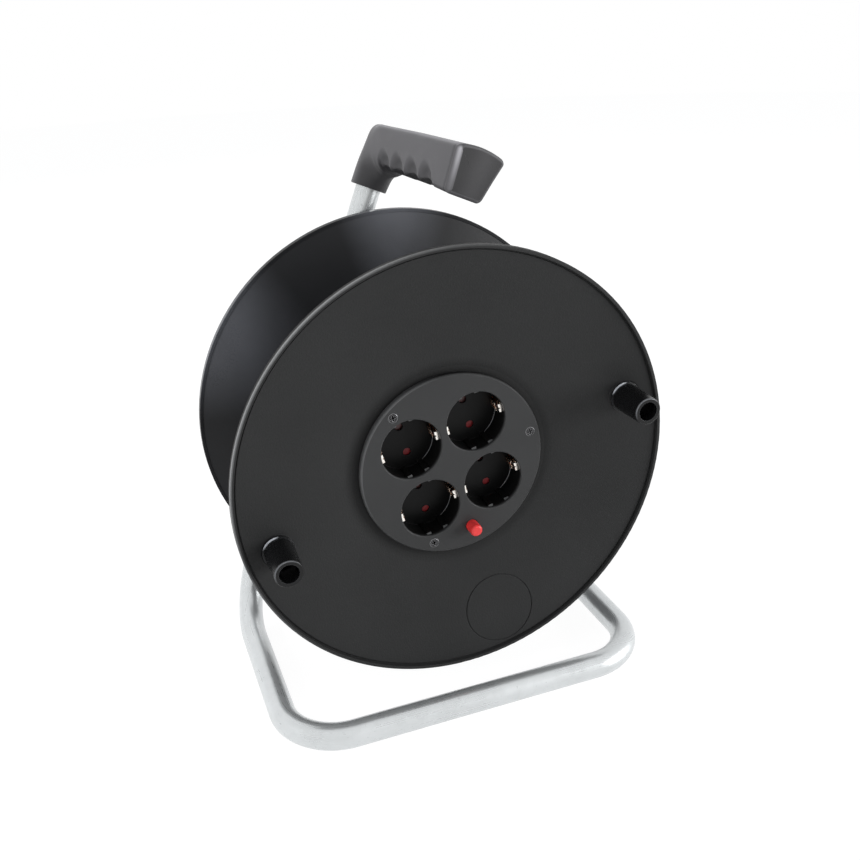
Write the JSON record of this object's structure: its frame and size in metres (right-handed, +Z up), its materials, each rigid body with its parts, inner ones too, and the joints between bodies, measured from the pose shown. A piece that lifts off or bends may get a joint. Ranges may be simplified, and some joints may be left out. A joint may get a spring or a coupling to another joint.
{
  "type": "extension cord reel",
  "caption": "Cable drum with earthed sockets, a red cut-out button and winding knobs, turning in a bent steel tube stand with a hand grip.",
  "frame": {"origin": "on the floor, under the middle of the bounding box, which is under the drum's axis", "axes": "+Z up; -Y is the side with the sockets; the drum's axis lies along Y"},
  "size_m": [0.29, 0.2029, 0.3613],
  "materials": {
    "tube_zinc": "galvanised steel tube, silver-white with faint drawing lines",
    "zinc_steel": "zinc-plated steel pressings, bolts and nuts",
    "screw_steel": "small dull steel screws",
    "drum_plastic": "black plastic with a fine grain",
    "core_plastic": "plain black plastic",
    "plate_plastic": "black socket plastic, slightly smoother than the drum",
    "knob_plastic": "black plastic, satin",
    "grip_plastic": "soft dark grey plastic",
    "red_plastic": "red plastic",
    "copper": "copper strip, slightly dulled",
    "contact_brass": "plain brass strip",
    "inner_plastic": "grey moulded insulation",
    "bush_plastic": "off-white bearing plastic",
    "spring_steel": "spring wire"
  },
  "bodies": {
    "stand": {"frame_tube": "tube_zinc", "tube_end_plug": "core_plastic", "hub_plate": "zinc_steel", "hub_plate_bolts": "zinc_steel", "hub_plate_nuts": "zinc_steel", "axle": "zinc_steel", "axle_nut": "zinc_steel", "retaining_washer": "zinc_steel", "retaining_screw": "zinc_steel", "grip": "grip_plastic", "grip_screw": "screw_steel"},
    "drum": {"front_flange": "drum_plastic", "rear_flange": "drum_plastic", "drum_core": "core_plastic", "hub_bushes": "bush_plastic", "core_screws": "screw_steel", "socket_plate": "plate_plastic", "plate_screws": "screw_steel", "contact_carrier": "inner_plastic", "carrier_screws": "screw_steel", "live_contacts": "contact_brass", "neutral_contacts": "contact_brass", "earth_frame": "copper", "overload_cutout": "inner_plastic", "terminal_block": "inner_plastic", "terminal_screws": "screw_steel", "cable_gland": "core_plastic", "gland_nut": "core_plastic", "knob_screws": "screw_steel", "reset_spring": "spring_steel"},
    "reset_button": {"reset_button": "red_plastic"},
    "knob_left": {"knob_left": "knob_plastic"},
    "knob_right": {"knob_right": "knob_plastic"},
    "shutter_upper_left": {"shutter_upper_left": "red_plastic"},
    "shutter_upper_right": {"shutter_upper_right": "red_plastic"},
    "shutter_lower_left": {"shutter_lower_left": "red_plastic"},
    "shutter_lower_right": {"shutter_lower_right": "red_plastic"}
  },
  "joints": [
    {"name": "drum_spin", "type": "hinge", "parent": "stand", "child": "drum", "pos_m": [0, 0.0317, 0.16], "axis": [0, 1, 0], "continuous": true},
    {"name": "reset_press", "type": "slide", "parent": "drum", "child": "reset_button", "axis": [0, 1, 0], "range_m": [0, 0.003], "stiffness_N_per_m": 400, "deforming": ["reset_spring"]},
    {"name": "knob_left_spin", "type": "hinge", "parent": "drum", "child": "knob_left", "pos_m": [-0.11916, -0.0713, 0.13073], "axis": [0, 1, 0], "continuous": true},
    {"name": "knob_right_spin", "type": "hinge", "parent": "drum", "child": "knob_right", "pos_m": [0.11916, -0.0713, 0.18927], "axis": [0, 1, 0], "continuous": true},
    {"name": "shutter_upper_left_turn", "type": "hinge", "parent": "drum", "child": "shutter_upper_left", "pos_m": [-0.02754, -0.0283, 0.17668], "axis": [0, 1, 0], "range_deg": [0, 30], "stiffness_Nm_per_rad": 0.002},
    {"name": "shutter_upper_right_turn", "type": "hinge", "parent": "drum", "child": "shutter_upper_right", "pos_m": [0.01668, -0.0283, 0.18754], "axis": [0, 1, 0], "range_deg": [0, 30], "stiffness_Nm_per_rad": 0.002},
    {"name": "shutter_lower_left_turn", "type": "hinge", "parent": "drum", "child": "shutter_lower_left", "pos_m": [-0.01668, -0.0283, 0.13246], "axis": [0, 1, 0], "range_deg": [0, 30], "stiffness_Nm_per_rad": 0.002},
    {"name": "shutter_lower_right_turn", "type": "hinge", "parent": "drum", "child": "shutter_lower_right", "pos_m": [0.02754, -0.0283, 0.14332], "axis": [0, 1, 0], "range_deg": [0, 30], "stiffness_Nm_per_rad": 0.002}
  ]
}
